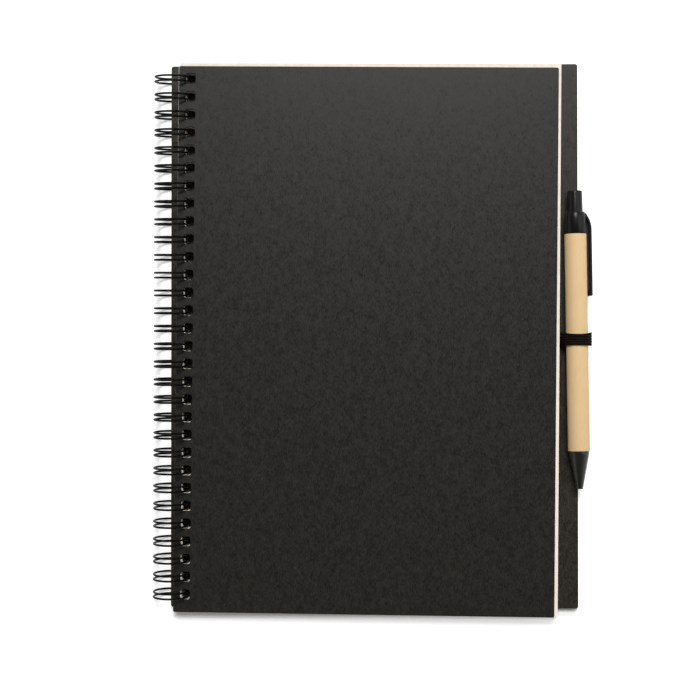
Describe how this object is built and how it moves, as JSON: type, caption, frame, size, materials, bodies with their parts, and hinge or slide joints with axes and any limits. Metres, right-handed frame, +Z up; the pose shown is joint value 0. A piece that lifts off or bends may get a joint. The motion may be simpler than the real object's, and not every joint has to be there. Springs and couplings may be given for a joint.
{
  "type": "wire-bound notebook with pen",
  "caption": "Twin-loop wire-bound notebook with charcoal board covers, cream pages, a wider back cover and an elastic loop that holds a retractable pen with a paper barrel",
  "frame": {"origin": "on the surface that the notebook lies on, under the middle of its outline", "axes": "+X from the binding to the pen, +Y along the binding towards the head of the page, +Z up through the front cover"},
  "size_m": [0.209, 0.2631, 0.017],
  "materials": {
    "cover_board_back": "charcoal recycled board with a fine fibre grain",
    "paper": "cream uncoated paper, edges of stacked sheets",
    "cover_board_front": "charcoal recycled board with a fine fibre grain",
    "coated_wire": "black nylon-coated wire, soft gloss",
    "elastic_band": "black ribbed elastic",
    "kraft_barrel": "wound kraft paper tube, matte",
    "housing_plastic": "black moulded plastic, satin gloss",
    "nose_plastic": "black moulded plastic, satin gloss",
    "button_plastic": "black moulded plastic, satin gloss",
    "refill_plastic": "milky plastic tube",
    "point_brass": "brass writing point",
    "spring_steel": "bright spring steel"
  },
  "bodies": {
    "base": {"back_cover": "cover_board_back", "binding_wire": "coated_wire", "elastic_loop": "elastic_band", "pen_barrel": "kraft_barrel", "pen_housing": "housing_plastic", "pen_nose": "nose_plastic", "pen_spring": "spring_steel"},
    "pages": {"page_block": "paper"},
    "front": {"front_cover": "cover_board_front"},
    "clicker": {"pen_button": "button_plastic", "refill_tube": "refill_plastic", "refill_point": "point_brass"}
  },
  "joints": [
    {"name": "page_turn", "type": "hinge", "parent": "base", "child": "pages", "pos_m": [-0.09584, 0.00093, 0.0085], "axis": [-0.0035, -1, 0], "range_deg": [0, 45]},
    {"name": "cover_turn", "type": "hinge", "parent": "pages", "child": "front", "pos_m": [-0.09584, 0.00093, 0.0085], "axis": [-0.0035, -1, 0], "range_deg": [0, 180]},
    {"name": "button_press", "type": "slide", "parent": "base", "child": "clicker", "axis": [0.0131, -0.9999, 0], "range_m": [0, 0.005], "stiffness_N_per_m": 120}
  ]
}
